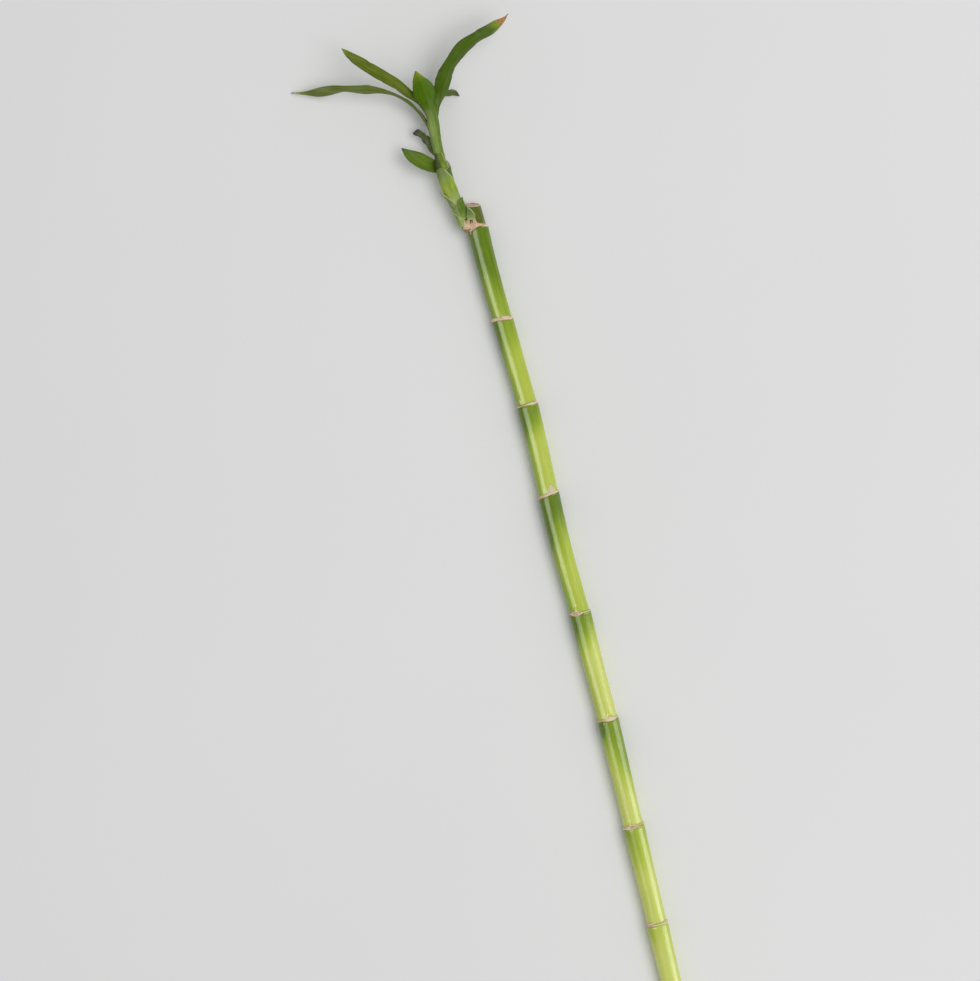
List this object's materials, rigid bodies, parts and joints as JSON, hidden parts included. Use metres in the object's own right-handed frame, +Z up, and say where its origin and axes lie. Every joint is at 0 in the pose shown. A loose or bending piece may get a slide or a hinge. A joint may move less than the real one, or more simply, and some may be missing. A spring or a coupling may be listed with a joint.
{
  "type": "lucky bamboo stem",
  "caption": "Cut ringed green cane lying on its side, with a dry cut stub and a side shoot of clasping, strap-shaped leaves at one end.",
  "frame": {"origin": "middle of the whole stem's bounding box, on the surface that it lies on", "axes": "+X along the cane from its cut foot to the leaves, +Z up from the surface, +Y to the side that the shoot grows out of"},
  "size_m": [0.5163, 0.1154, 0.0299],
  "materials": {
    "cane": "satin, fleshy green skin with tan rings",
    "shoot": "satin green",
    "scale": "satin green with pale margins",
    "leaf": "satin green",
    "dry_husk": "matt, dry and papery"
  },
  "bodies": {
    "root": {"cane": "cane", "shoot_stem": "shoot", "base_scale_left": "scale", "scale_leaf_left": "scale", "scale_leaf_right": "scale", "fork_bract": "scale", "lower_left_leaf": "leaf", "crinkled_left_leaf": "leaf", "far_left_leaf": "leaf", "upper_left_leaf": "leaf", "front_leaf": "leaf", "right_leaf": "leaf", "back_right_leaf": "leaf", "dry_sheath": "dry_husk"}
  },
  "joints": []
}
